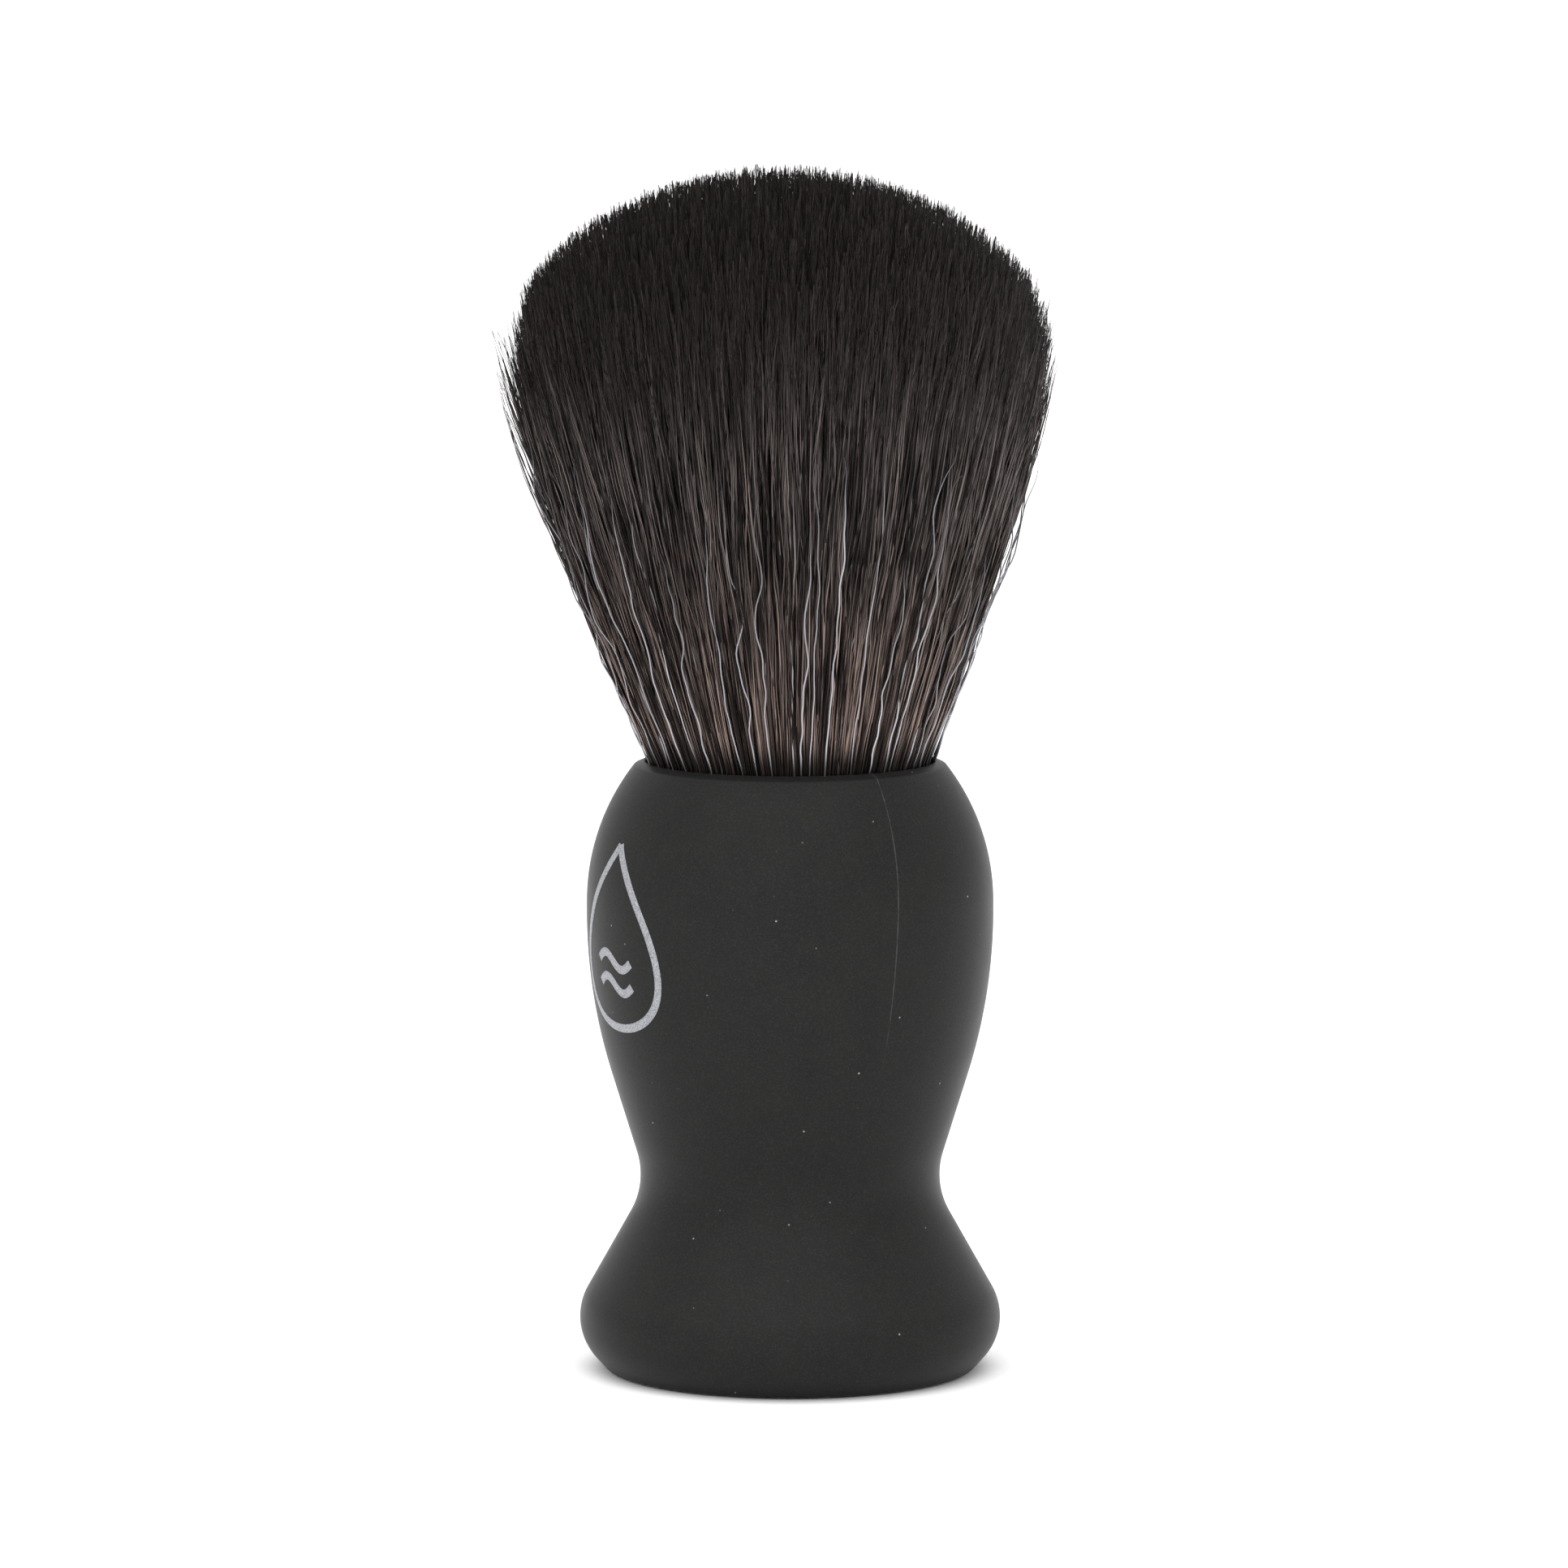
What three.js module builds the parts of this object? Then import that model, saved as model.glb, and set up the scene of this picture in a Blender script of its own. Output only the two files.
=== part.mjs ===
// A shaving brush: a solid waisted handle, turned and bored, with a bound knot of fibres glued in its top.
// Millimetres, +Z up along the brush's own axis, with the origin at the centre of the foot's underside.
// Every piece is round, so every piece is a profile of (radius, height) points turned about the axis.

import * as THREE from "three";

// Driving dimensions
const KNOT_R = 13.35; // the knot where it leaves the handle, and the bore that holds it
const SOCKET_DEPTH = 14;
const RIM_Z = 56.8; // inner edge of the lip
const BELLY_R = 18.8;
const FOOT_LIFT = 0.2; // the pad holds the handle this far off the surface
const TUFT_R = 24.8; // widest part of the fan
const TUFT_WIDEST_Z = 94.5;
const TUFT_TOP_Z = 112;

// Corners of the handle's outline from the foot up: radius, height, and the radius each is rounded to
const HANDLE_CORNERS = [
  [17.1, FOOT_LIFT], // edge of the foot
  [20.7, 4.1, 5.2], // bulge above it
  [13.27, 17.3, 7.4], // waist, where the fingers hold
  [BELLY_R, 35.1, 50.5], // belly, a long curve below its widest point
  [BELLY_R, 50.67, 20.6], // and a shorter one above it
  [14.4, 56.35, 0.4], // outer edge of the lip
  [KNOT_R, RIM_Z],
];

const PAD_R = 15.3;
const PAD_THICK = 1;
const DISC_R = 12; // the disc that shuts the ballast bore
const DISC_THICK = 2;
const BALLAST_R = 9.2;
const BALLAST_LENGTH = 13.5;
const RESIN_HEIGHT = 6; // of the plug that the fibres' ends are cast in
const THREAD_R = 0.25;
const THREAD_TURNS = 5;
const THREAD_ABOVE_PLUG = 1.2;
const GLUE = 0.4; // thickness of every layer of adhesive
const FIT = 0.1; // clearance between pieces that sit in one another

const SEGMENTS = 48;
const CHORD_ERROR = 0.02; // how far a rounded corner's flats may lie inside the true arc

// Heights that follow, from the foot up
const PAD_RECESS_Z = PAD_THICK + FIT;
const DISC_BOTTOM_Z = PAD_RECESS_Z + FIT;
const DISC_TOP_Z = DISC_BOTTOM_Z + DISC_THICK;
const BALLAST_BOTTOM_Z = DISC_TOP_Z + 2 * FIT;
const BALLAST_TOP_Z = BALLAST_BOTTOM_Z + BALLAST_LENGTH;
const BORE_TOP_Z = BALLAST_TOP_Z + GLUE + 2 * FIT;
const SOCKET_FLOOR_Z = RIM_Z - SOCKET_DEPTH;
const PLUG_BOTTOM_Z = SOCKET_FLOOR_Z + GLUE + 2 * FIT;
const PLUG_R = KNOT_R - GLUE - 2 * FIT;
const ROOT_Z = PLUG_BOTTOM_Z + RESIN_HEIGHT + FIT;
const THREAD_BOTTOM_Z = ROOT_Z + THREAD_ABOVE_PLUG;
const THREAD_TOP_Z = THREAD_BOTTOM_Z + THREAD_TURNS * 2 * THREAD_R;

// Turns a profile about the brush's axis. The profile keeps the solid on its left as it goes.
function turned(name, profile, material) {
  const points = profile.map(([r, z]) => new THREE.Vector2(r, z));
  const geometry = new THREE.LatheGeometry(points, SEGMENTS);
  geometry.rotateX(Math.PI / 2);
  const mesh = new THREE.Mesh(geometry, material);
  mesh.name = name;
  return mesh;
}

// A profile through corners of (radius, height, rounding): each rounding is an arc tangent to both sides.
function rounded(corners) {
  const profile = [];
  corners.forEach(([r, z, radius], i) => {
    if (!radius) {
      profile.push([r, z]);
      return;
    }
    const corner = new THREE.Vector2(r, z);
    const back = new THREE.Vector2(...corners[i - 1].slice(0, 2)).sub(corner).normalize();
    const ahead = new THREE.Vector2(...corners[i + 1].slice(0, 2)).sub(corner).normalize();
    const half = Math.acos(back.dot(ahead)) / 2;
    const centre = back.clone().add(ahead).setLength(radius / Math.sin(half)).add(corner);
    const start = back.multiplyScalar(radius / Math.tan(half)).add(corner).sub(centre);
    const end = ahead.multiplyScalar(radius / Math.tan(half)).add(corner).sub(centre);
    const sweep = Math.sign(start.cross(end)) * (Math.PI - 2 * half);
    const step = 2 * Math.acos(1 - CHORD_ERROR / radius);
    const steps = Math.max(2, Math.ceil(Math.abs(sweep) / step));
    for (let k = 0; k <= steps; k++) {
      const point = start.clone().rotateAround(new THREE.Vector2(), (sweep * k) / steps).add(centre);
      profile.push([point.x, point.y]);
    }
  });
  return profile;
}

// A plain disc or cylinder between two heights.
function disc(radius, bottom, top) {
  return [[0, bottom], [radius, bottom], [radius, top], [0, top]];
}

const plastic = (color) => new THREE.MeshStandardMaterial({ color, roughness: 0.6, metalness: 0 });
const resin = (color) => new THREE.MeshStandardMaterial({ color, roughness: 0.25, metalness: 0 });
const cloth = (color) => new THREE.MeshStandardMaterial({ color, roughness: 0.9, metalness: 0 });
const steel = () => new THREE.MeshStandardMaterial({ color: 0x9a9ca0, roughness: 0.35, metalness: 1 });

// Handle: one solid, bored from above for the knot, and from below for the ballast, the disc that shuts
// its bore and the pad. The profile runs down the ballast bore, up the outside and down the socket.
function handleBody() {
  const ballastBore = [
    [0, BORE_TOP_Z],
    [BALLAST_R + FIT, BORE_TOP_Z],
    [BALLAST_R + FIT, DISC_TOP_Z + FIT],
    [DISC_R + FIT, DISC_TOP_Z + FIT],
    [DISC_R + FIT, PAD_RECESS_Z],
    [PAD_R + FIT, PAD_RECESS_Z],
    [PAD_R + FIT, FOOT_LIFT],
  ];
  const socket = [[KNOT_R, SOCKET_FLOOR_Z], [0, SOCKET_FLOOR_Z]];
  const profile = [...ballastBore, ...rounded(HANDLE_CORNERS), ...socket];
  return turned("handle_body", profile, plastic(0x2f2e2d));
}

// Resin cup that beds the knot in its socket.
function socketAdhesive() {
  const outer = KNOT_R - FIT;
  const floor = SOCKET_FLOOR_Z + FIT;
  const profile = [
    [0, floor],
    [outer, floor],
    [outer, ROOT_Z],
    [outer - GLUE, ROOT_Z],
    [outer - GLUE, floor + GLUE],
    [0, floor + GLUE],
  ];
  return turned("socket_adhesive", profile, resin(0xb9a878));
}

// Cast plug that holds the fibres' ends together, chamfered to start in the socket.
function knotPlug() {
  const chamfer = 0.8;
  const top = ROOT_Z - FIT;
  const profile = [
    [0, PLUG_BOTTOM_Z],
    [PLUG_R - chamfer, PLUG_BOTTOM_Z],
    [PLUG_R, PLUG_BOTTOM_Z + chamfer],
    [PLUG_R, top],
    [0, top],
  ];
  return turned("knot_plug", profile, resin(0x6b5a3a));
}

// Binding thread: turns lying side by side in a groove around the fibres, just above the plug.
function knotThread() {
  const middle = PLUG_R - THREAD_R;
  const sides = 4;
  const profile = [[middle - THREAD_R, THREAD_BOTTOM_Z]];
  for (let turn = 0; turn < THREAD_TURNS; turn++) {
    const z = THREAD_BOTTOM_Z + THREAD_R + turn * 2 * THREAD_R;
    for (let k = turn ? 1 : 0; k <= sides; k++) {
      const a = Math.PI * (k / sides - 0.5);
      profile.push([middle + THREAD_R * Math.cos(a), z + THREAD_R * Math.sin(a)]);
    }
  }
  profile.push([middle - THREAD_R, THREAD_TOP_Z], profile[0]);
  return turned("knot_thread", profile, cloth(0x77716a));
}

// Fibres, from the plug to the tips: a straight bound root with a groove for the thread, then a fan that
// opens in an almost straight cone from the lip, and a full dome of tips.
function fibreBundle() {
  const groove = PLUG_R - 2 * THREAD_R - FIT;
  const throat = KNOT_R - 0.25;
  const root = [
    [0, ROOT_Z],
    [PLUG_R, ROOT_Z],
    [PLUG_R, THREAD_BOTTOM_Z - FIT],
    [groove, THREAD_BOTTOM_Z - FIT],
    [groove, THREAD_TOP_Z + FIT],
    [PLUG_R, THREAD_TOP_Z + FIT],
  ];
  const fan = new THREE.CubicBezierCurve(
    new THREE.Vector2(throat, RIM_Z),
    new THREE.Vector2(throat + 6.8, RIM_Z + 17),
    new THREE.Vector2(TUFT_R, TUFT_WIDEST_Z - 11),
    new THREE.Vector2(TUFT_R, TUFT_WIDEST_Z),
  );
  const dome = new THREE.CubicBezierCurve(
    new THREE.Vector2(TUFT_R, TUFT_WIDEST_Z),
    new THREE.Vector2(TUFT_R, TUFT_WIDEST_Z + 11),
    new THREE.Vector2(11, TUFT_TOP_Z),
    new THREE.Vector2(0, TUFT_TOP_Z),
  );
  const outside = [...fan.getPoints(10), ...dome.getPoints(12).slice(1)].map((p) => [p.x, p.y]);
  return turned("fibre_bundle", [...root, ...outside], cloth(0x1c1a19));
}

const ballastGlueZ = BALLAST_TOP_Z + FIT;
const brush = new THREE.Group();
brush.add(
  handleBody(),
  socketAdhesive(),
  knotPlug(),
  knotThread(),
  fibreBundle(),
  turned("ballast_slug", disc(BALLAST_R, BALLAST_BOTTOM_Z, BALLAST_TOP_Z), steel()),
  turned("ballast_adhesive", disc(BALLAST_R, ballastGlueZ, ballastGlueZ + GLUE), resin(0xb9a878)),
  turned("base_disc", disc(DISC_R, DISC_BOTTOM_Z, DISC_TOP_Z), plastic(0x1e1e1e)),
  turned("foot_pad", disc(PAD_R, 0, PAD_THICK), cloth(0x232323)),
);

export default brush;
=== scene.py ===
# %% [markdown]
# # A shaving brush
# A shaving brush is a turned handle with a knot of fine fibres glued into a socket in its top. The CAD model
# already fixes every size. This lesson puts the looks around it: a smooth handle with a soft-touch coat, a
# printed mark, and about thirty thousand separate fibres grown by one Geometry Nodes tree.

# %% Load the frame
import math

import bpy
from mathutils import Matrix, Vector


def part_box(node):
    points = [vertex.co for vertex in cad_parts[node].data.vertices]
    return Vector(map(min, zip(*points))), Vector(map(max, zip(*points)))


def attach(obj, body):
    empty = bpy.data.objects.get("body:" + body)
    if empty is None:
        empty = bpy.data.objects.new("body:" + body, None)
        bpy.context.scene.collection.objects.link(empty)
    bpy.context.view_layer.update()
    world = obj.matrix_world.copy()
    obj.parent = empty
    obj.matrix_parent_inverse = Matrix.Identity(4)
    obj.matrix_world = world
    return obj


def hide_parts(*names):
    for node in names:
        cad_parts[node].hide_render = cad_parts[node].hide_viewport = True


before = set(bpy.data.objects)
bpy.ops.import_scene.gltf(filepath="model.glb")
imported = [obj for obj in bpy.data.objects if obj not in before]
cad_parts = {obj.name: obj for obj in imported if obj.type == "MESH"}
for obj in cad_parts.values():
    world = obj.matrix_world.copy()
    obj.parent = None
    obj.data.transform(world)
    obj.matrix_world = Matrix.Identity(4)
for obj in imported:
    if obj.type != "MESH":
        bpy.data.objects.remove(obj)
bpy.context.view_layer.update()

MM = 0.001
print("CAD nodes:", ", ".join(sorted(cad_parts)))

# %% [markdown]
# ## Reading sizes from the frame
# The heights and radii read here come from the imported CAD nodes, so they can't drift away from the
# design. Sizes are kept in millimetres, as a maker would write them, and turned into metres at the end.

# %% Sizes from the frame


def size_of(node):
    """A round node's radius, lowest height and highest height, in millimetres."""
    low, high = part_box(node)
    return (high.x - low.x) / 2 / MM, low.z / MM, high.z / MM


FOOT_BULGE_R, FOOT_Z, RIM_Z = size_of("handle_body")
_, _, TUFT_TOP_Z = size_of("fibre_bundle")
PAD_R, _, PAD_TOP_Z = size_of("foot_pad")
DISC_R, _, DISC_TOP_Z = size_of("base_disc")
BALLAST_R, _, _ = size_of("ballast_slug")
_, _, BORE_TOP_Z = size_of("ballast_adhesive")
_, SOCKET_FLOOR_Z, _ = size_of("socket_adhesive")
print(f"handle {RIM_Z:.1f} mm tall, foot {2 * FOOT_BULGE_R:.1f} mm, brush {TUFT_TOP_Z:.1f} mm tall")

# %% [markdown]
# ## Two small helpers for node trees
# Materials and Geometry Nodes are both trees of nodes. `add` puts one node in a tree and fills its sockets.
# `Field` wraps a socket so that plain arithmetic adds the Math nodes, and a formula reads like a formula.

# %% Node helpers


def plug(tree, socket, value):
    """Gives a node's input a value, or links another node's output or a Field to it."""
    if isinstance(value, Field):
        tree.links.new(value.socket, socket)
    elif isinstance(value, bpy.types.NodeSocket):
        tree.links.new(value, socket)
    else:
        socket.default_value = value


def add(tree, kind, inputs=None, **settings):
    """Adds a node. Inputs are given by name or by place, settings are the node's own properties."""
    node = tree.nodes.new(kind)
    for name, value in settings.items():
        setattr(node, name, value)
    for name, value in (inputs or {}).items():
        plug(tree, node.inputs[name], value)
    return node


class Field:
    """A number that differs from place to place. Arithmetic on it adds Math nodes to its tree."""

    def __init__(self, tree, socket):
        self.tree = tree
        self.socket = socket

    def maths(self, operation, *others):
        node = self.tree.nodes.new("ShaderNodeMath")
        node.operation = operation
        for socket, value in zip(node.inputs, (self, *others)):
            plug(self.tree, socket, value)
        return Field(self.tree, node.outputs[0])

    def __add__(self, other):
        return self.maths("ADD", other)

    def __sub__(self, other):
        return self.maths("SUBTRACT", other)

    def __mul__(self, other):
        return self.maths("MULTIPLY", other)

    def __truediv__(self, other):
        return self.maths("DIVIDE", other)

    def __pow__(self, other):
        return self.maths("POWER", other)

    def sine(self):
        return self.maths("SINE")

    def cosine(self):
        return self.maths("COSINE")

    def root(self):
        return self.maths("SQRT")

    def at_least(self, other):
        return self.maths("MAXIMUM", other)

    def at_most(self, other):
        return self.maths("MINIMUM", other)

    def between(self, low, high, to_low=0.0, to_high=1.0):
        """Goes smoothly from to_low to to_high as the value goes from low to high."""
        inputs = {"Value": self, "From Min": low, "From Max": high, "To Min": to_low, "To Max": to_high}
        node = add(self.tree, "ShaderNodeMapRange", inputs, interpolation_type="SMOOTHSTEP")
        return Field(self.tree, node.outputs["Result"])


# %% [markdown]
# ## Materials
# Each finish starts from one Principled shader. A number that is the same all over the surface is set on
# the shader's own socket. Only what really varies, such as grain, gets nodes.

# %% Material helpers


def srgb(red, green, blue):
    """A colour as a paint chart gives it, 0 to 255, turned into the linear values that Blender mixes."""

    def linear(value):
        value /= 255
        return value / 12.92 if value <= 0.04045 else ((value + 0.055) / 1.055) ** 2.4

    return (linear(red), linear(green), linear(blue), 1.0)


def new_material(name, **values):
    """A material with one Principled shader. Values are its sockets, with _ for each space."""
    material = bpy.data.materials.new(name)
    material.use_nodes = True
    shader = material.node_tree.nodes["Principled BSDF"]
    for socket, value in values.items():
        shader.inputs[socket.replace("_", " ").title().replace("Ior", "IOR")].default_value = value
    return material, material.node_tree, shader


def own_place(tree):
    """The surface's place on the piece, in metres, which stays put when the piece moves."""
    return add(tree, "ShaderNodeTexCoord").outputs["Object"]


def noise(tree, place, per_mm, detail=2.0, roughness=0.5):
    """Cloudy values from 0 to 1, with about per_mm lumps in a millimetre."""
    inputs = {"Vector": place, "Scale": per_mm / MM, "Detail": detail, "Roughness": roughness}
    return Field(tree, add(tree, "ShaderNodeTexNoise", inputs).outputs["Fac"])


def blend(tree, share, first, second):
    """A colour that goes from first to second as share goes from 0 to 1."""
    node = add(tree, "ShaderNodeMix", {"Factor": share}, data_type="RGBA")
    colours = [socket for socket in node.inputs if socket.type == "RGBA"]
    plug(tree, colours[0], first)
    plug(tree, colours[1], second)
    return next(socket for socket in node.outputs if socket.type == "RGBA")


def roughen(tree, shader, height, depth_mm):
    """Raises the surface by a height field, without moving its vertices."""
    bump = add(tree, "ShaderNodeBump", {"Height": height, "Distance": depth_mm * MM, "Strength": 1.0})
    tree.links.new(bump.outputs["Normal"], shader.inputs["Normal"])


# %% [markdown]
# ## The handle
# The real handle is turned or moulded, so it is round, with a bulging foot, a waist for three fingers and a
# full belly. The CAD handle is right but has only 48 flats around it, which would show as facets along its
# edges. Smoothing those with a subdivision modifier would shrink the shape. So the same corners, rounded by
# the same radii and turned in finer steps, make a smooth one. Each rounding is an arc tangent to both sides
# of its corner.

# %% Profile of the handle
KNOT_R = 13.35  # the knot where it leaves the handle, and the socket that holds it
BELLY_R = 18.8
FIT = 0.1  # clearance between pieces that sit in one another
CHORD = 0.35  # longest step along the profile
TURN_STEPS = 192

# Radius, height and rounding of each corner, down the ballast bore, up the outside and down the socket
HANDLE_CORNERS = [
    (0, BORE_TOP_Z + FIT, 0),  # top of the bore that holds the ballast
    (BALLAST_R + FIT, BORE_TOP_Z + FIT, 0.3),
    (BALLAST_R + FIT, DISC_TOP_Z + FIT, 0.2),
    (DISC_R + FIT, DISC_TOP_Z + FIT, 0.2),  # step for the disc that shuts it
    (DISC_R + FIT, PAD_TOP_Z + FIT, 0.2),
    (PAD_R + FIT, PAD_TOP_Z + FIT, 0.2),  # recess for the pad
    (PAD_R + FIT, FOOT_Z, 0.15),
    (17.1, FOOT_Z, 0.3),  # edge of the foot
    (20.7, 4.1, 5.2),  # bulge above it
    (13.27, 17.3, 7.4),  # waist, where the fingers hold
    (BELLY_R, 35.1, 50.5),  # belly, a long curve below its widest point
    (BELLY_R, 50.67, 20.6),  # and a shorter one above it
    (14.4, 56.35, 0.4),  # outer edge of the lip
    (KNOT_R, RIM_Z, 0.12),
    (KNOT_R, SOCKET_FLOOR_Z - FIT, 0.3),  # the socket that holds the knot
    (0, SOCKET_FLOOR_Z - FIT, 0),
]


def rounded(corners):
    """Points of an outline of (radius, height, rounding) corners, in steps of at most CHORD."""
    bends = [Vector(corners[0][:2])]
    for before, (r, z, rounding), after in zip(corners, corners[1:], corners[2:]):
        corner = Vector((r, z))
        back = (Vector(before[:2]) - corner).normalized()
        ahead = (Vector(after[:2]) - corner).normalized()
        half = back.angle(ahead) / 2
        centre = corner + (back + ahead).normalized() * (rounding / math.sin(half))
        start = corner + back * (rounding / math.tan(half)) - centre
        end = corner + ahead * (rounding / math.tan(half)) - centre
        sweep = math.copysign(math.pi - 2 * half, start.x * end.y - start.y * end.x)
        steps = max(4, math.ceil(rounding * abs(sweep) / CHORD))
        for k in range(steps + 1):
            cos, sin = math.cos(sweep * k / steps), math.sin(sweep * k / steps)
            bends.append(centre + Vector((start.x * cos - start.y * sin, start.x * sin + start.y * cos)))
    bends.append(Vector(corners[-1][:2]))
    points = [bends[0]]
    for bend in bends[1:]:
        steps = max(1, math.ceil((bend - points[-1]).length / CHORD))
        points += [points[-1].lerp(bend, k / steps) for k in range(1, steps + 1)]
    return points


handle_profile = rounded(HANDLE_CORNERS)
print("handle profile:", len(handle_profile), "points")

# %% [markdown]
# A turned piece is its profile swept round the axis. The Screw modifier or Spin would sweep it too, but
# would leave doubled points at the axis and a seam to merge. Written out, points on the axis are one vertex,
# so the poles are closed, and every face is wound to point outwards.

# %% Turn a profile into a piece


def new_piece(name, vertices, faces, material):
    """A smooth-shaded mesh object from vertices in millimetres."""
    mesh = bpy.data.meshes.new(name)
    mesh.from_pydata([Vector(v) * MM for v in vertices], [], faces)
    mesh.shade_smooth()
    mesh.materials.append(material)
    piece = bpy.data.objects.new(name, mesh)
    bpy.context.scene.collection.objects.link(piece)
    return piece


def turned(name, profile, material, steps=TURN_STEPS):
    """A profile that starts and ends on the axis, turned all the way round."""
    vertices = []
    rings = []
    for r, z in profile:
        if r < 1e-6:
            rings.append([len(vertices)] * steps)
            vertices.append((0, 0, z))
            continue
        rings.append(list(range(len(vertices), len(vertices) + steps)))
        for k in range(steps):
            angle = 2 * math.pi * k / steps
            vertices.append((r * math.cos(angle), r * math.sin(angle), z))
    faces = []
    for lower, upper in zip(rings, rings[1:]):
        for k in range(steps):
            following = (k + 1) % steps
            corners = [lower[k], lower[following], upper[following], upper[k]]
            faces.append(tuple(dict.fromkeys(corners)))
    return new_piece(name, vertices, faces, material)


# %% [markdown]
# ## The soft-touch coat
# Soft-touch paint is a black rubbery lacquer. It has a fine grain, it hardly shines face on, and it lightens
# towards its edges, where light glances off. Dust clings to it as small pale specks, and it marks easily: a
# hairline scratch runs down this one. Paint and wear could be pictures wrapped round the handle. Noise in
# the material needs none, has no seam, and stays sharp at any distance.

# %% Soft-touch black
SPECKS_PER_MM = 0.8
SCRATCH_ANGLE = math.radians(-65.2)  # round from the right, at the height of the foot
SCRATCH_LEAN = math.radians(0.15)  # for each millimetre up
SCRATCH_END_Z = 28


def soft_touch_black():
    material, tree, shader = new_material(
        "soft_touch_black", specular_ior_level=0.07, sheen_weight=0.02, sheen_roughness=0.3
    )
    place = own_place(tree)
    mottle = noise(tree, place, 0.35, detail=4.0)
    grain = noise(tree, place, 6.0, detail=3.0, roughness=0.6)
    colour = blend(tree, mottle, srgb(28, 28, 28), srgb(34, 34, 33))
    colour = blend(tree, grain.between(0.42, 0.75, 0.0, 0.22), colour, srgb(66, 65, 64))

    # Specks: the middle of one cell in five
    cells = add(tree, "ShaderNodeTexVoronoi", {"Vector": place, "Scale": SPECKS_PER_MM / MM})
    chosen = add(tree, "ShaderNodeSeparateColor", {"Color": cells.outputs["Color"]})
    near = Field(tree, cells.outputs["Distance"]).between(0.03, 0.1, 1.0, 0.0)
    speck = near * Field(tree, chosen.outputs[0]).between(0.8, 1.0)
    colour = blend(tree, speck * 0.55, colour, srgb(190, 190, 188))

    # Hairline: wherever the angle round the handle is close to that of a line that leans with height
    x, y, z = (Field(tree, socket) for socket in add(tree, "ShaderNodeSeparateXYZ", {0: place}).outputs)
    leaning = z * (SCRATCH_LEAN / MM) + SCRATCH_ANGLE
    off_line = (y.maths("ARCTAN2", x) - leaning).maths("ABSOLUTE")
    scratch = off_line.between(0.001, 0.005, 1.0, 0.0) * z.between(SCRATCH_END_Z * MM, 40 * MM)
    worn = noise(tree, place, 0.5).between(0.3, 0.6, 0.25, 1.0)
    colour = blend(tree, scratch * worn * 0.13, colour, srgb(150, 150, 150))
    tree.links.new(colour, shader.inputs["Base Color"])
    tree.links.new((mottle * 0.08 + 0.36).socket, shader.inputs["Roughness"])
    roughen(tree, shader, grain, 0.012)
    return material


handle = turned("handle", handle_profile, soft_touch_black())
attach(handle, "root")
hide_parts("handle_body")
print("handle faces:", len(handle.data.polygons))

# %% [markdown]
# ## The printed mark
# A mark is pad-printed on the belly in silver ink. This one is a plain drop of water with two ripples in it.
# A curve with Shrinkwrap could lay it on the handle, but would pull its edges about. Here each stroke is a
# path drawn flat, then wrapped round the handle as a film a few hundredths of a millimetre thick, so its
# width stays even and it is real geometry.

# %% Draw the mark
MARK_ANGLE = math.radians(-90 - 60)  # round to the left of the front
MARK_Z = 41.5
STROKE = 0.8
INK_THICK = 0.03
DROP_WIDTH = 13.5
DROP_HEIGHT = 16.9
RIPPLE_WIDTH = 5.6
RIPPLE_HEIGHT = 0.7
RIPPLES_Y = (-2.2, -4.4)  # below the middle of the drop


def handle_radius(z):
    """Radius of the handle's outside at a height."""
    outside = [p for p in handle_profile if p.x > KNOT_R]
    above = next(i for i, p in enumerate(outside) if p.y > z)
    low, high = outside[above - 1], outside[above]
    return low.x + (high.x - low.x) * (z - low.y) / (high.y - low.y)


def drop(width, height, steps=96):
    """A teardrop's outline, point up, centred on its own box. The last point meets the first."""
    points = []
    for k in range(steps + 1):
        t = 2 * math.pi * k / steps
        fullness = abs(math.sin(t / 2)) ** 1.3
        points.append(Vector((width * 0.65 * math.sin(t) * fullness, height / 2 * math.cos(t))))
    return points


def ripple(width, height, y, steps=40):
    """One wave of a line across the drop."""
    points = []
    for k in range(steps + 1):
        share = k / steps
        points.append(Vector((width * (share - 0.5), y + height * math.sin(2 * math.pi * share))))
    return points


# %% [markdown]
# A stroke's cross-section is a thin closed loop: its outer skin lies just off the handle, its inner one just
# inside it. The loop is carried along the path and closed at both ends.

# %% Wrap the mark round the handle


def inked(paths, across=4):
    """Wraps strokes round the handle. Each is a closed film with a skin that follows the surface."""
    vertices, faces = [], []
    for path in paths:
        ring = 2 * (across + 1)
        first = len(vertices)
        offsets = [STROKE * (j / across - 0.5) for j in range(across + 1)]
        section = [(o, INK_THICK) for o in offsets] + [(o, -INK_THICK) for o in reversed(offsets)]
        for k, point in enumerate(path):
            before = path[max(k - 1, 0)]
            after = path[min(k + 1, len(path) - 1)]
            side = (after - before).normalized()
            side = Vector((side.y, -side.x))
            for offset, lift in section:
                a, b = point + side * offset
                z = MARK_Z + b
                r = handle_radius(z)
                angle = MARK_ANGLE + a / r
                vertices.append(((r + lift) * math.cos(angle), (r + lift) * math.sin(angle), z))
        for k in range(len(path) - 1):
            for j in range(ring):
                here, there = first + k * ring, first + (k + 1) * ring
                following = (j + 1) % ring
                faces.append((here + j, there + j, there + following, here + following))
        faces.append(tuple(first + j for j in range(ring)))
        last = first + (len(path) - 1) * ring
        faces.append(tuple(last + j for j in reversed(range(ring))))
    return vertices, faces


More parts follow.
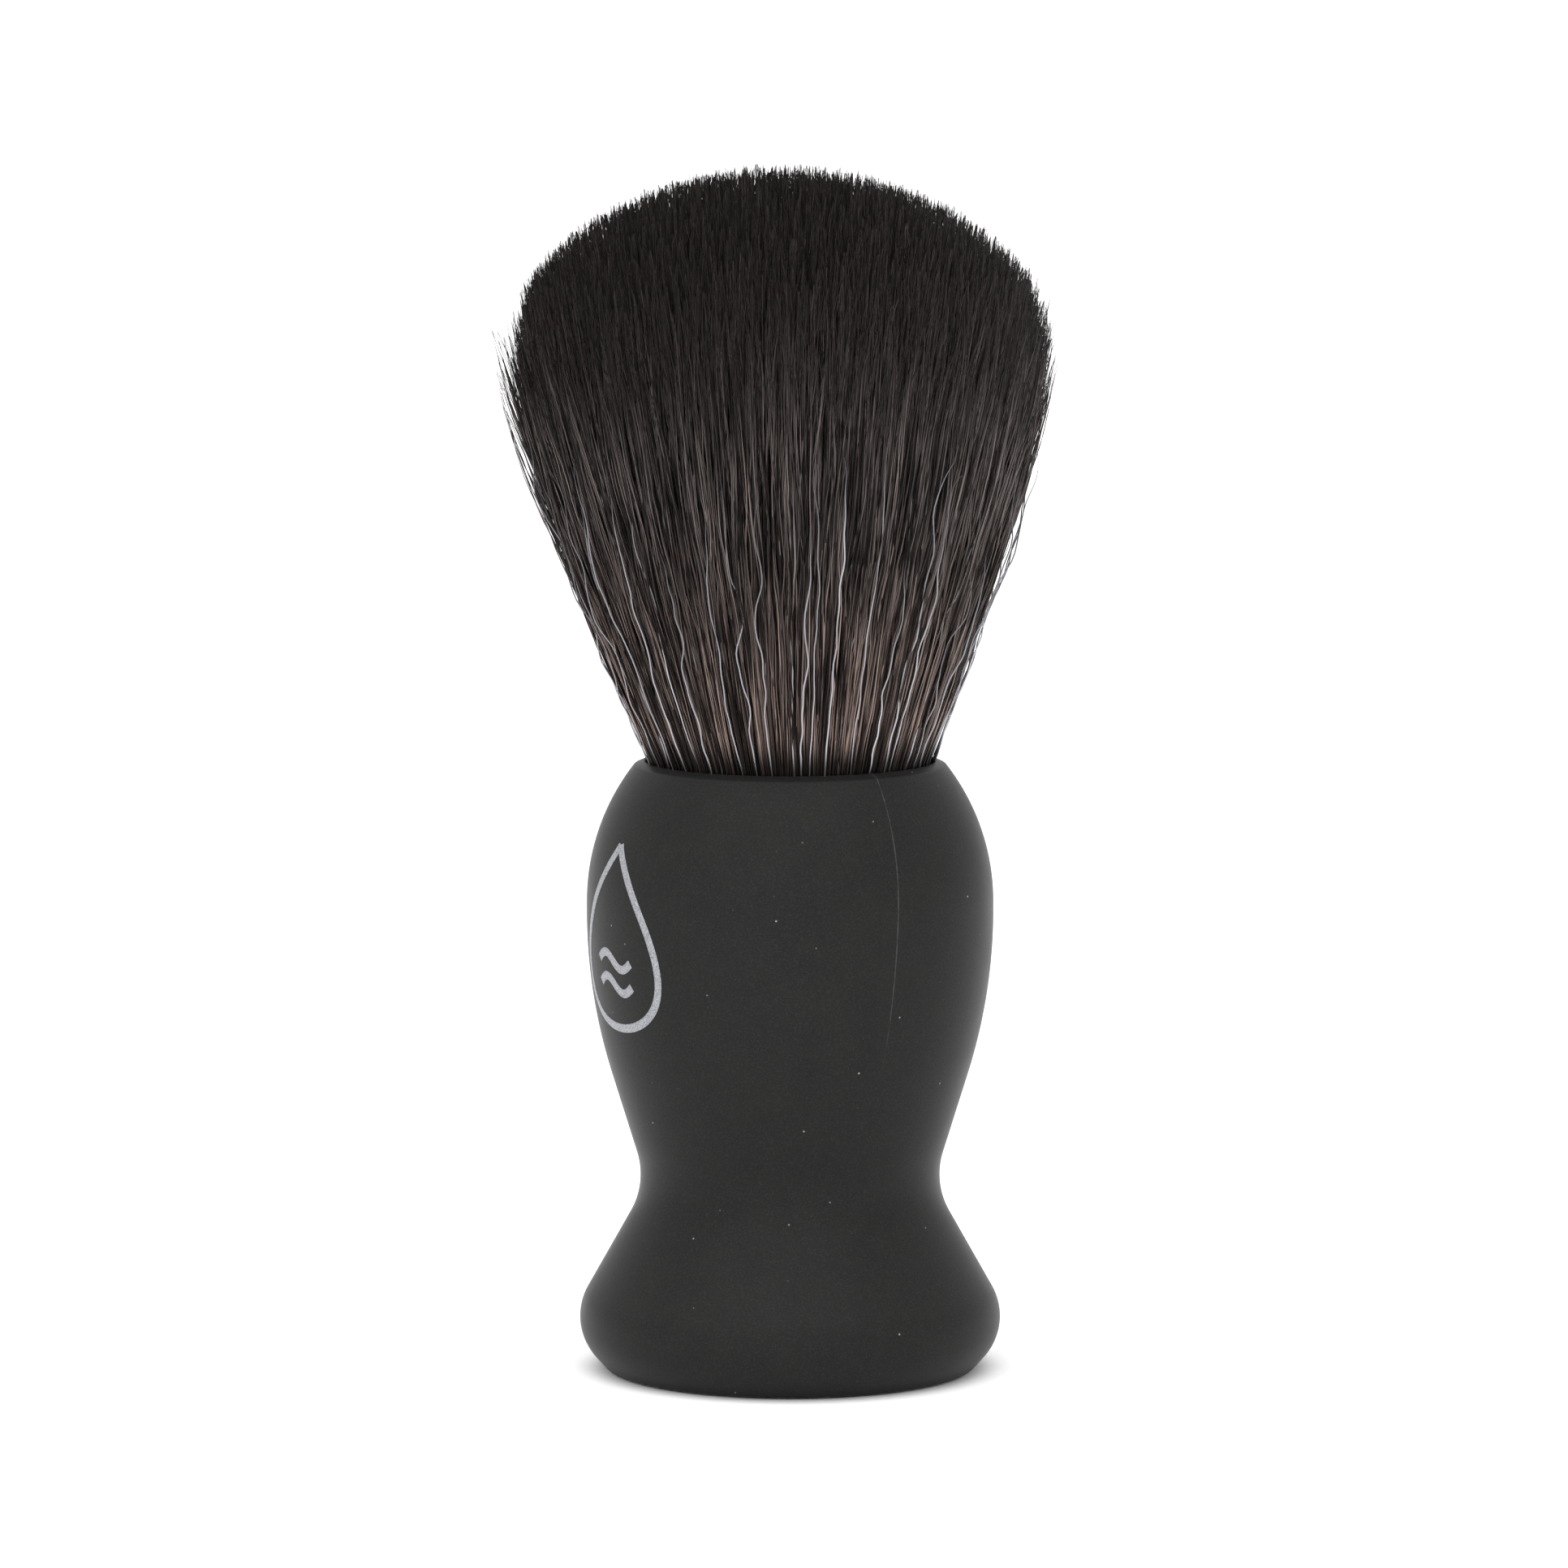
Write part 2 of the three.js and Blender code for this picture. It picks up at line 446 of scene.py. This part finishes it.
def silver_ink():
    material, tree, shader = new_material("silver_ink", metallic=0.35, specular_ior_level=0.4)
    flakes = noise(tree, own_place(tree), 9.0, detail=2.0, roughness=0.7)
    colour = blend(tree, flakes.between(0.3, 0.7), srgb(104, 106, 110), srgb(172, 174, 179))
    tree.links.new(colour, shader.inputs["Base Color"])
    tree.links.new((flakes * 0.2 + 0.4).socket, shader.inputs["Roughness"])
    roughen(tree, shader, flakes, 0.01)
    return material


strokes = [drop(DROP_WIDTH, DROP_HEIGHT)] + [ripple(RIPPLE_WIDTH, RIPPLE_HEIGHT, y) for y in RIPPLES_Y]
mark = new_piece("printed_mark", *inked(strokes), silver_ink())
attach(mark, "root")
print("mark faces:", len(mark.data.polygons))

# %% [markdown]
# ## The fibres
# A knot is a bundle of straight fibres tied at the root. Every fibre starts in the socket, and leans out
# more the further it is from the middle. So one rule places them all: a fibre at a share of the knot's
# radius stays at that same share of the fan's radius all the way up, and stops where it meets the dome.
# Hair could be grown from a surface, but these fibres have no surface to start from and the export keeps
# only meshes. One Geometry Nodes tree follows the rule for as many fibres as it is asked for.

# %% Sizes of the fan
LIP_Z = RIM_Z
ROOT_DEPTH = 1.5  # how far inside the socket the fibres start
THROAT_R = KNOT_R - 0.25
FLARE = 0.42  # how fast the fan opens at the lip, millimetres out for each millimetre up
STRAIGHTEN = 0.0023  # how soon it straightens
DOME_TOP_Z = TUFT_TOP_Z - 0.7
DOME_DROP = 16.4  # from the top of the dome down to its edge
DOME_POWER = 0.75  # roundness of the dome
EDGE_DROP = 7.0  # the outermost fibres of all are this much shorter still
EDGE_POWER = 24.0
LEAN = 0.042  # the knot leans a little to the left, as its fibres were set
LEAN_EASES = 0.0005


def fan_reach(up):
    """Radius of the whole fan, from the height above the lip. Works for a number and for a Field."""
    return up * FLARE + THROAT_R - up * up * STRAIGHTEN


for z in (LIP_Z, 75, 95):
    print(f"fan radius {fan_reach(z - LIP_Z):.1f} mm at {z:.1f} mm up")

# %% [markdown]
# The tree has named inputs, so that one tree makes every kind of fibre in the knot. Lengths are in
# millimetres. Near the tips, neighbours cling together in small points, as fine fibres do.

# %% Inputs of the tree
FIBRE_INPUTS = {
    "Fibres": ("Int", 6000),
    "Pieces": ("Int", 1),  # the fibres are dealt out over this many meshes
    "Piece": ("Int", 0),  # and this is the number of this one
    "Points": ("Int", 24),  # along each fibre
    "Inner share": ("Float", 0.0),  # of the knot's radius, where this kind of fibre starts
    "Outer share": ("Float", 1.0),  # and ends
    "Start": ("Float", 0.0),  # share of a fibre's length that is left out at its root
    "Fibres in a point": ("Int", 6),
    "Looseness": ("Float", 1.0),  # of the fibres in a point
    "Clinging": ("Float", 0.9),  # how much of that is gone at the tips
    "Thickness": ("Float", 0.13),
    "Crimp": ("Float", 0.14),  # how far each fibre wanders
    "Crimps": ("Float", 5.5),  # and how many times
    "Sway": ("Float", 0.4),  # how far all the fibres of a point wander together
    "Straying": ("Float", 0.02),
    "Uneven tips": ("Float", 0.5),
    "Uneven points": ("Float", 0.45),
    "Standing out": ("Float", 0.0),  # beyond the fan at the tips, or inside it if below 0
    "Seed": ("Int", 1),
    "Material": ("Material", None),
}
print("inputs of the fibre tree:", len(FIBRE_INPUTS))

# %% [markdown]
# A number worked out early in the tree is stored on the points by name and read again further down, where
# the points have become lines and then meshes.

# %% Store and read numbers


def store(tree, geometry, name, value, data_type="FLOAT", domain="POINT"):
    """Stores a value on each point, or on each corner of a face, to be read again later."""
    inputs = {"Geometry": geometry, "Name": name, "Value": value}
    node = add(tree, "GeometryNodeStoreNamedAttribute", inputs, data_type=data_type, domain=domain)
    return node.outputs[0]


def read(tree, name):
    """A stored number."""
    node = add(tree, "GeometryNodeInputNamedAttribute", {"Name": name}, data_type="FLOAT")
    return Field(tree, node.outputs[0])


# %% [markdown]
# The tree starts from bare points, one for each fibre. The golden angle spreads the small points of the
# knot evenly over its disc, with no rows or rings, and each fibre sits near the middle of its point. All
# that sets a fibre apart is stored on its point here, before there is any fibre to see.

# %% One point for each fibre
GOLDEN_ANGLE = math.pi * (3 - math.sqrt(5))
POINT_SPACING = 1.9  # room between points of the knot, for one point on a disc of radius 1
POINT_SPREAD = 0.6  # share of that room which a point's own fibres take up
MORE_ON_LEFT = 0.65  # standing out: this much only on the left
ALL_ROUND = 0.35  # and this much all round


def root_points(tree, given):
    """Bare points that remember each fibre's place, length, shade and number."""
    index = Field(tree, add(tree, "GeometryNodeInputIndex").outputs[0])
    fibre = index * given["Pieces"] + given["Piece"]
    count = (given["Fibres"] / given["Pieces"]).maths("FLOOR")
    points = add(tree, "GeometryNodePoints", {"Count": count}).outputs[0]

    def chance(number, low, high, of=fibre):
        """A random number for each fibre, or for each point, always the same for the same number."""
        node = add(tree, "FunctionNodeRandomValue", {"ID": of, "Seed": given["Seed"] + number})
        node.inputs[2].default_value = low
        node.inputs[3].default_value = high
        return Field(tree, node.outputs[1])

    # Where its small point of the knot is on a disc of radius 1, and where the fibre is in that point
    clump = (fibre / given["Fibres in a point"]).maths("FLOOR")
    clumps = given["Fibres"] / given["Fibres in a point"]
    inner = given["Inner share"] ** 2.0
    outer = given["Outer share"] ** 2.0
    share = (inner + (outer - inner) * ((clump + 0.5) / clumps)).root()
    angle = clump * GOLDEN_ANGLE
    room = (outer - inner).root() * POINT_SPACING / clumps.root()
    away = chance(1, 0.0, 1.0).root() * room * POINT_SPREAD * given["Looseness"]
    way = chance(2, 0.0, 2 * math.pi)
    uneven = chance(8, -1.0, 1.0, of=clump) * given["Uneven points"]
    to_left = (angle.cosine() * -1.0).at_least(0.0) * MORE_ON_LEFT + ALL_ROUND

    facts = {
        "clump x": share * angle.cosine(),
        "clump y": share * angle.sine(),
        "aside x": away * way.cosine(),
        "aside y": away * way.sine(),
        "stray x": chance(3, -1.0, 1.0) * given["Straying"],
        "stray y": chance(4, -1.0, 1.0) * given["Straying"],
        "short": chance(5, 0.0, 1.0) ** 2.0 * given["Uneven tips"] + uneven,
        "clump": clump,
        "out": chance(6, 0.0, 1.0, of=clump) * given["Standing out"] * to_left,
        "shade": chance(7, 0.0, 1.0),
        "number": fibre,
    }
    for name, value in facts.items():
        points = store(tree, points, name, value)
    return points


# %% [markdown]
# A straight line of a few points is put at each root and made real, and then every point of every line is
# moved to its place along its fibre. The dome sets how high the fibre reaches. The fan opens with height.
# Noise read along the fibre makes it wander: a quick one for each fibre, and a slow one that the fibres of
# a point share.

# %% Lay the fibres out
CLING_POWER = 16.0  # a point's fibres stay apart until just below the tips
OUT_POWER = 2.0  # a lock that stands out leaves the fan slowly
NOISE_APART = 7.31  # how far apart in the noise two neighbouring fibres are read
SWING = 4.0  # noise hardly leaves its middle, so it is stretched by this
SWAYS = 2.5  # slow bends along a point of the knot


def laid_out(tree, given, points):
    """The fibres as bent lines, and how far along its fibre each point of them is."""
    line = add(tree, "GeometryNodeCurvePrimitiveLine").outputs[0]
    line = add(tree, "GeometryNodeResampleCurve", {"Curve": line, "Count": given["Points"]}).outputs[0]
    lines = add(tree, "GeometryNodeInstanceOnPoints", {"Points": points, "Instance": line}).outputs[0]
    lines = add(tree, "GeometryNodeRealizeInstances", {"Geometry": lines}).outputs[0]

    # From 0 at the root to 1 at the tip
    factor = Field(tree, add(tree, "GeometryNodeSplineParameter").outputs["Factor"])
    along = given["Start"] + factor * (given["Start"] * -1.0 + 1.0)

    # Place on the disc of radius 1
    loose = along**CLING_POWER * given["Clinging"] * -1.0 + 1.0
    x = read(tree, "clump x") + (read(tree, "aside x") + read(tree, "stray x") * along) * loose
    y = read(tree, "clump y") + (read(tree, "aside y") + read(tree, "stray y") * along) * loose
    from_middle = (x * x + y * y).root().at_most(1.0)

    # Height
    dome = (from_middle * from_middle * -1.0 + 1.0).at_least(0.0) ** DOME_POWER
    tip = dome * DOME_DROP + (DOME_TOP_Z - DOME_DROP) - from_middle**EDGE_POWER * EDGE_DROP
    tip = tip - read(tree, "short")
    start_z = LIP_Z - ROOT_DEPTH
    height = (tip - start_z) * along + (start_z - LIP_Z)
    up = height.at_least(0.0)

    def wander(which, bends, amount, grown_by):
        """Sideways offsets that change smoothly along a fibre, and differ for each value of which."""
        spot = add(tree, "ShaderNodeCombineXYZ", {"X": read(tree, which) * NOISE_APART, "Y": along * bends})
        clouds = add(tree, "ShaderNodeTexNoise", {"Vector": spot.outputs[0], "Scale": 1.0, "Detail": 1.0})
        sides = add(tree, "ShaderNodeSeparateXYZ", {0: clouds.outputs["Color"]})
        swing = given[amount] * along.between(0.0, grown_by) * SWING
        return [(Field(tree, sides.outputs[axis]) - 0.5) * swing for axis in (0, 1)]

    # Sideways place
    reach = fan_reach(up) + read(tree, "out") * along**OUT_POWER
    crimp = wander("number", given["Crimps"], "Crimp", 0.2)
    sway = wander("clump", SWAYS, "Sway", 0.6)
    calm = along.between(0.75, 1.0, 1.0, 0.3)
    lean = up * LEAN - up * up * LEAN_EASES
    east = x * reach + crimp[0] * calm + sway[0] - lean
    north = y * reach + crimp[1] * calm + sway[1]
    place = add(tree, "ShaderNodeCombineXYZ", {"X": east * MM, "Y": north * MM, "Z": (height + LIP_Z) * MM})
    lines = add(tree, "GeometryNodeSetPosition", {"Geometry": lines, "Position": place.outputs[0]}).outputs[0]
    return lines, along


# %% [markdown]
# The lines get a skin: a three-sided section swept along them, because three sides are enough for something
# this thin. A fibre tapers over its last third. Its place on the colour map is a thin upright strip, chosen
# by its shade, with its root at the bottom. Fibres of one shade share a strip.

# %% Give the fibres a skin
UV_MAP = "OFBake"
STRIP = 0.004  # width of a fibre's strip on the colour map
SIDES = 3


def skinned(tree, given, lines, along):
    """The lines as tapered fibres, made real, with a colour map and their material."""
    lines = store(tree, lines, "along", along)
    radius = given["Thickness"] * 0.5 * MM * along.between(0.7, 1.0, 1.0, 0.3)
    section = add(tree, "GeometryNodeCurvePrimitiveCircle", {"Resolution": SIDES, "Radius": 1.0}).outputs[0]
    side = Field(tree, add(tree, "GeometryNodeInputIndex").outputs[0])
    section = store(tree, section, "around", side / (SIDES - 1.0))
    inputs = {"Curve": lines, "Profile Curve": section, "Scale": radius, "Fill Caps": True}
    hair = add(tree, "GeometryNodeCurveToMesh", inputs).outputs[0]

    across = (read(tree, "shade") * (1.0 - STRIP)) + read(tree, "around") * STRIP
    spot = add(tree, "ShaderNodeCombineXYZ", {"X": across, "Y": read(tree, "along")})
    hair = store(tree, hair, UV_MAP, spot.outputs[0], "FLOAT2", "CORNER")
    hair = add(tree, "GeometryNodeRealizeInstances", {"Geometry": hair}).outputs[0]
    hair = add(tree, "GeometryNodeSetShadeSmooth", {"Geometry": hair}).outputs[0]
    return add(tree, "GeometryNodeSetMaterial", {"Geometry": hair, "Material": given["Material"]}).outputs[0]


# %% [markdown]
# The three steps make one tree: points, then lines, then skin.

# %% Put the tree together


def fibre_tree():
    tree = bpy.data.node_groups.new("fibres of a knot", "GeometryNodeTree")
    tree.interface.new_socket("Geometry", in_out="OUTPUT", socket_type="NodeSocketGeometry")
    for name, (kind, value) in FIBRE_INPUTS.items():
        socket = tree.interface.new_socket(name, in_out="INPUT", socket_type="NodeSocket" + kind)
        if value is not None:
            socket.default_value = value
    entry = tree.nodes.new("NodeGroupInput")
    given = {name: Field(tree, entry.outputs[name]) for name in FIBRE_INPUTS}
    lines, along = laid_out(tree, given, root_points(tree, given))
    add(tree, "NodeGroupOutput", {"Geometry": skinned(tree, given, lines, along)})
    return tree


knot_tree = fibre_tree()
socket_ids = {
    item.name: item.identifier for item in knot_tree.interface.items_tree if item.in_out == "INPUT"
}
print("nodes in the fibre tree:", len(knot_tree.nodes))

# %% [markdown]
# To use the tree, it is put on an empty mesh as a modifier, its inputs are set by their sockets' own
# identifiers, and the result is kept as a plain mesh. Then the modifier and the stored numbers can go.

# %% Grow a piece
STORED = {
    "clump", "clump x", "clump y", "aside x", "aside y", "stray x", "stray y", "short", "out", "shade",
    "number", "along", "around",
}


def grown(name, **inputs):
    """Runs the tree with these inputs and returns the fibres as one plain mesh piece."""
    piece = bpy.data.objects.new(name, bpy.data.meshes.new(name))
    bpy.context.scene.collection.objects.link(piece)
    modifier = piece.modifiers.new("fibres", "NODES")
    modifier.node_group = knot_tree
    for key, value in inputs.items():
        modifier[socket_ids[key.replace("_", " ").capitalize()]] = value
    evaluated = piece.evaluated_get(bpy.context.evaluated_depsgraph_get())
    mesh = bpy.data.meshes.new_from_object(evaluated)
    piece.modifiers.clear()
    piece.data = mesh
    for attribute in [a.name for a in mesh.attributes if a.name in STORED]:
        mesh.attributes.remove(mesh.attributes[attribute])
    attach(piece, "root")
    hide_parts("fibre_bundle")
    mesh.calc_loop_triangles()
    print(name, len(mesh.loop_triangles), "triangles")
    return piece


# %% [markdown]
# ## What colour a fibre is
# The fibres are dyed black at the tips, and the dye thins out to a smoky brown and grey towards the root.
# No two are the same shade. A hair shader would tint them with one number for each strand, but strands are
# plain meshes here. So the colour map does it: it runs across the fibres from left to right and along them
# from bottom to top. Noise across it gives each fibre its own depth, tint and paleness, and the height does
# the rest. A little glue and some painted shade darken the roots.

# %% Dyed fibre


def dyed_fibre(name, light_root, light_tip, dark_root, dark_tip, fade):
    """Light and dark shades at the root and at the tip. Fade is where along the fibre the dye is full."""
    material, tree, shader = new_material(name, roughness=0.5, specular_ior_level=0.16)
    spot = add(tree, "ShaderNodeSeparateXYZ", {0: add(tree, "ShaderNodeUVMap", uv_map=UV_MAP).outputs[0]})
    shade = Field(tree, spot.outputs["X"])
    along = Field(tree, spot.outputs["Y"])

    def by_fibre(per_map, shift, change_along=0.0):
        """A number for each fibre. Another shift reads another part of the noise, so no two agree."""
        inputs = {"X": shade * per_map + shift, "Y": along * change_along}
        place = add(tree, "ShaderNodeCombineXYZ", inputs).outputs[0]
        clouds = add(tree, "ShaderNodeTexNoise", {"Vector": place, "Scale": 1.0, "Detail": 1.0})
        return Field(tree, clouds.outputs["Fac"])

    depth = by_fibre(150.0, 40.0)
    tint = by_fibre(90.0, 3.0)
    paleness = by_fibre(170.0, 9.0, 2.0)
    glue_and_painted_shade_height = by_fibre(190.0, 70.0)

    dyed = (along + (depth - 0.5) * 0.5).between(0.0, fade)
    light = blend(tree, dyed, light_root, light_tip)
    dark = blend(tree, dyed, dark_root, dark_tip)
    light = blend(tree, tint.between(0.3, 0.6, 0.0, 0.5), light, srgb(88, 90, 96))
    paleness = paleness.between(0.43, 0.73) * along.between(0.88, 1.0, 1.0, 0.35)
    colour = blend(tree, paleness, dark, light)
    # Glue and painted shade: the roots darken just above the lip, partly from glue and partly as painted
    # shade at the foot of the close-packed knot
    glue_and_painted_shade = (along + (glue_and_painted_shade_height - 0.5) * 0.06).between(0.055, 0.14, 1.0, 0.0)
    colour = blend(tree, glue_and_painted_shade * 0.9, colour, srgb(20, 16, 14))
    tree.links.new(colour, shader.inputs["Base Color"])
    return material


black_fibre = dyed_fibre(
    "black_fibre",
    light_root=srgb(206, 176, 162),
    light_tip=srgb(144, 130, 124),
    dark_root=srgb(24, 18, 16),
    dark_tip=srgb(17, 14, 13),
    fade=0.84,
)
# Painted highlight: these fibres are partly paler fibres and partly painted glints, near white at the root
# and darker towards the tip
pale_painted_glint_fibre = dyed_fibre(
    "pale_painted_glint_fibre",
    light_root=srgb(236, 236, 243),
    light_tip=srgb(150, 150, 156),
    dark_root=srgb(182, 180, 185),
    dark_tip=srgb(56, 55, 57),
    fade=1.2,
)
print("fibre finishes:", black_fibre.name, "and", pale_painted_glint_fibre.name)

# %% [markdown]
# ## Four kinds of fibre
# A real knot has tens of thousands of whole fibres, which is far more than a mesh should hold. But only the
# outermost show for their whole length, so only they are made whole. Further in, just the tips show, so
# those are short pieces of many more fibres.

# %% The outer fibres and the dome of tips
OUTER_PIECES = 6
INNER_PIECES = 3
for k in range(OUTER_PIECES):
    grown(
        f"outer_fibres_{k + 1}", fibres=7200, pieces=OUTER_PIECES, piece=k, points=23, sway=0.55,
        inner_share=0.84, outer_share=0.982, uneven_points=0.9, uneven_tips=1.6, standing_out=-0.7,
        material=black_fibre, seed=11,
    )
for k in range(INNER_PIECES):
    grown(
        f"dome_tips_{k + 1}", fibres=21600, pieces=INNER_PIECES, piece=k, points=5,
        inner_share=0.0, outer_share=0.86, start=0.8, uneven_tips=1.0, material=black_fibre, seed=23,
    )

# %% [markdown]
# A few paler fibres run on top, and their light colour is partly painted highlight, standing in for glints
# off glossy fibres. Some locks stand out from the sides, most of all on the left, with gaps behind them. The
# outer fibres above have a number below 0 for "standing out", which makes them sit in a little there and
# opens those gaps.

# %% The pale fibres and the loose locks
# Painted highlight: the light colour of these fibres stands partly for glints off glossy fibres
grown(
    "pale_painted_glint_fibres", fibres=60, points=40, inner_share=0.995, outer_share=1.015, fibres_in_a_point=1,
    thickness=0.16, crimp=0.36, crimps=5.5, sway=0.9, uneven_tips=12.0, material=pale_painted_glint_fibre, seed=38,
)
grown(
    "stray_fibres", fibres=1400, points=24, inner_share=0.93, outer_share=0.99, fibres_in_a_point=7,
    looseness=0.16, thickness=0.13, sway=0.5, standing_out=1.9, uneven_tips=3.0,
    material=black_fibre, seed=41,
)

# %% [markdown]
# ## The dark middle
# Behind the outer fibres are thousands more, packed so close that no light comes through. Making them all
# would cost millions of faces that nobody sees. A dark core, shaped by the same rule at a smaller share of
# the knot and kept under the tips, stands for them.

# %% Core of the knot
CORE_SHARE = 0.8  # of the knot's radius
CORE_NECK = 0.97  # and this much at the lip, to fill the socket
CORE_UNDER = 6.0  # how far it stays below the tips
CORE_DEPTH = 4  # and how far it goes into the socket


def fan_radius(z):
    """Radius of the whole fan at a height."""
    return fan_reach(max(0.0, z - LIP_Z))


def tip_height(share):
    """Height that a fibre reaches, from its share of the knot's radius."""
    return DOME_TOP_Z - DOME_DROP * (1 - (1 - share**2) ** DOME_POWER) - EDGE_DROP * share**EDGE_POWER


def core_profile(steps=40):
    """Up the neck in the socket, up the sides and over the dome."""
    bottom = LIP_Z - CORE_DEPTH
    top = tip_height(CORE_SHARE) - CORE_UNDER
    neck = THROAT_R * CORE_NECK
    narrowing = steps / 5  # steps over which it goes from the neck's share to its own
    points = [(0, bottom), (neck, bottom), (neck, LIP_Z - 1)]
    for k in range(steps + 1):
        z = LIP_Z + (top - LIP_Z) * k / steps
        points.append((fan_radius(z) * (CORE_NECK - (CORE_NECK - CORE_SHARE) * min(1, k / narrowing)), z))
    for k in range(1, steps + 1):
        share = CORE_SHARE * (1 - k / steps)
        z = tip_height(share) - CORE_UNDER
        points.append((share * fan_radius(z), z))
    return points


def core_black():
    material, tree, shader = new_material("core_black", roughness=0.9, specular_ior_level=0.1)
    streaks = noise(tree, own_place(tree), 1.5, detail=2.0)
    tree.links.new(blend(tree, streaks, srgb(9, 8, 7), srgb(18, 15, 14)), shader.inputs["Base Color"])
    return material


core = turned("fibre_core", core_profile(), core_black(), steps=96)
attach(core, "root")
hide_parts("fibre_bundle")
print("core faces:", len(core.data.polygons))

# %% [markdown]
# ## The pieces inside
# Under the fibres are a plug of cast resin, a thread wound round the knot and the glue that beds it. Low in
# the handle are a steel slug for ballast, its glue, the disc that shuts it in and a rubber pad. They keep
# their CAD shapes, because none of them shows while the brush stands up. They still get real finishes, for
# anyone who takes the brush apart. Each is a grain of noise, squeezed along the axes where the real one is,
# that sets colour, roughness and height together.

# %% Finishes for the pieces inside


def grained(name, low, high, per_mm, squeeze=(1, 1, 1), rough=(0.4, 0.5), depth_mm=0.02, **values):
    """A finish whose colour, roughness and height follow one grain, finer along each axis by squeeze."""
    material, tree, shader = new_material(name, **values)
    place = add(tree, "ShaderNodeVectorMath", {0: own_place(tree), 1: squeeze}, operation="MULTIPLY")
    grain = noise(tree, place.outputs[0], per_mm, detail=3.0, roughness=0.6)
    tree.links.new(blend(tree, grain.between(0.3, 0.7), low, high), shader.inputs["Base Color"])
    tree.links.new(grain.between(0.3, 0.7, *rough).socket, shader.inputs["Roughness"])
    roughen(tree, shader, grain, depth_mm)
    return material


epoxy = grained(
    "clear_adhesive", srgb(176, 158, 106), srgb(194, 178, 130), per_mm=0.4, rough=(0.15, 0.3), depth_mm=0.05
)
INSIDE_FINISHES = {
    "socket_adhesive": epoxy,
    "ballast_adhesive": epoxy,
    "knot_plug": grained(
        "knot_resin", srgb(94, 77, 48), srgb(120, 101, 66), per_mm=0.7, rough=(0.2, 0.35), depth_mm=0.04
    ),
    # Fine lines along the thread's turns, like the plies of a waxed yarn
    "knot_thread": grained(
        "binding_thread", srgb(96, 90, 82), srgb(140, 134, 126), per_mm=1.2, squeeze=(1, 1, 7),
        rough=(0.7, 0.95), depth_mm=0.05,
    ),
    # Tool marks round a turned bar are much finer along it than across it
    "ballast_slug": grained(
        "ballast_steel", srgb(160, 160, 163), srgb(190, 190, 192), per_mm=0.3, squeeze=(1, 1, 30),
        rough=(0.28, 0.45), depth_mm=0.01, metallic=1.0,
    ),
    "base_disc": grained("base_black", srgb(26, 26, 26), srgb(34, 34, 34), per_mm=3.0, rough=(0.45, 0.6)),
    "foot_pad": grained(
        "pad_rubber", srgb(30, 30, 30), srgb(43, 43, 42), per_mm=2.2, rough=(0.75, 0.95), depth_mm=0.12
    ),
}
for name, finish in INSIDE_FINISHES.items():
    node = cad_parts[name]
    node.data.materials.clear()
    node.data.materials.append(finish)
print("pieces inside:", ", ".join(INSIDE_FINISHES))

# %% [markdown]
# ## Camera
# The camera looks slightly down from the front, through a long lens, as for a catalogue. Its lens follows
# from how far away it is and how much it should take in.

# %% Camera
CAMERA_AWAY = 800.0
CAMERA_ELEVATION = math.radians(6.53)
LOOK_AT = Vector((-0.562, 0, 54.5))
FRAME_WIDTH = 144.719  # how much the frame spans at the brush
SENSOR_WIDTH = 36.0
camera = bpy.data.objects.new("camera", bpy.data.cameras.new("camera"))
bpy.context.scene.collection.objects.link(camera)
back = Vector((0, -math.cos(CAMERA_ELEVATION), math.sin(CAMERA_ELEVATION)))
camera.location = (LOOK_AT + back * CAMERA_AWAY) * MM
camera.rotation_euler = (math.pi / 2 - CAMERA_ELEVATION, 0, 0)
camera.data.sensor_width = SENSOR_WIDTH
camera.data.lens = SENSOR_WIDTH * CAMERA_AWAY / FRAME_WIDTH
camera.data.clip_start = 10 * MM
bpy.context.scene.camera = camera
print(f"lens {camera.data.lens:.0f} mm, {CAMERA_AWAY:.0f} mm away")

# %% [markdown]
# ## Floor and light
# The brush stands on a white sweep. A white world lights it from all sides, so its edges lighten against the
# background. A wide sun from straight above keeps the floor white right up to a thin shadow under the foot.
# A large, weak softbox at the front lifts the belly and the foot a little. A small one would show in the
# coat as a bright patch.

# %% Floor
bpy.context.scene.view_settings.view_transform = "Standard"
FLOOR_HALF = 20000  # so far that the edge of the sweep never shows
WHITE = (0.97, 0.97, 0.97, 1)
floor_material, _, _ = new_material("white_floor", base_color=WHITE, roughness=0.9, specular_ior_level=0.1)
floor_corners = [(x * FLOOR_HALF, y * FLOOR_HALF, 0) for x, y in ((-1, -1), (1, -1), (1, 1), (-1, 1))]
floor = new_piece("floor", floor_corners, [(0, 1, 2, 3)], floor_material)
print("floor:", floor.name, "is not part of the brush")

# %% Light
world = bpy.data.worlds.new("white studio")
bpy.context.scene.world = world
world.use_nodes = True
world.node_tree.nodes["Background"].inputs["Color"].default_value = (1, 1, 1, 1)
world.node_tree.nodes["Background"].inputs["Strength"].default_value = 1.0

sun = bpy.data.lights.new("overhead", "SUN")
sun.energy = 1.3
sun.angle = math.radians(70)
overhead = bpy.data.objects.new("overhead", sun)
bpy.context.scene.collection.objects.link(overhead)

key = bpy.data.lights.new("key", "AREA")
key.size = 1600 * MM
key.energy = 6.5
softbox = bpy.data.objects.new("key", key)
softbox.location = Vector((-150, -650, 750)) * MM
middle_of_brush = Vector((0, 0, 50 * MM))
softbox.rotation_euler = (middle_of_brush - softbox.location).to_track_quat("-Z", "Y").to_euler()
bpy.context.scene.collection.objects.link(softbox)
print("lights:", overhead.name, "and", softbox.name)
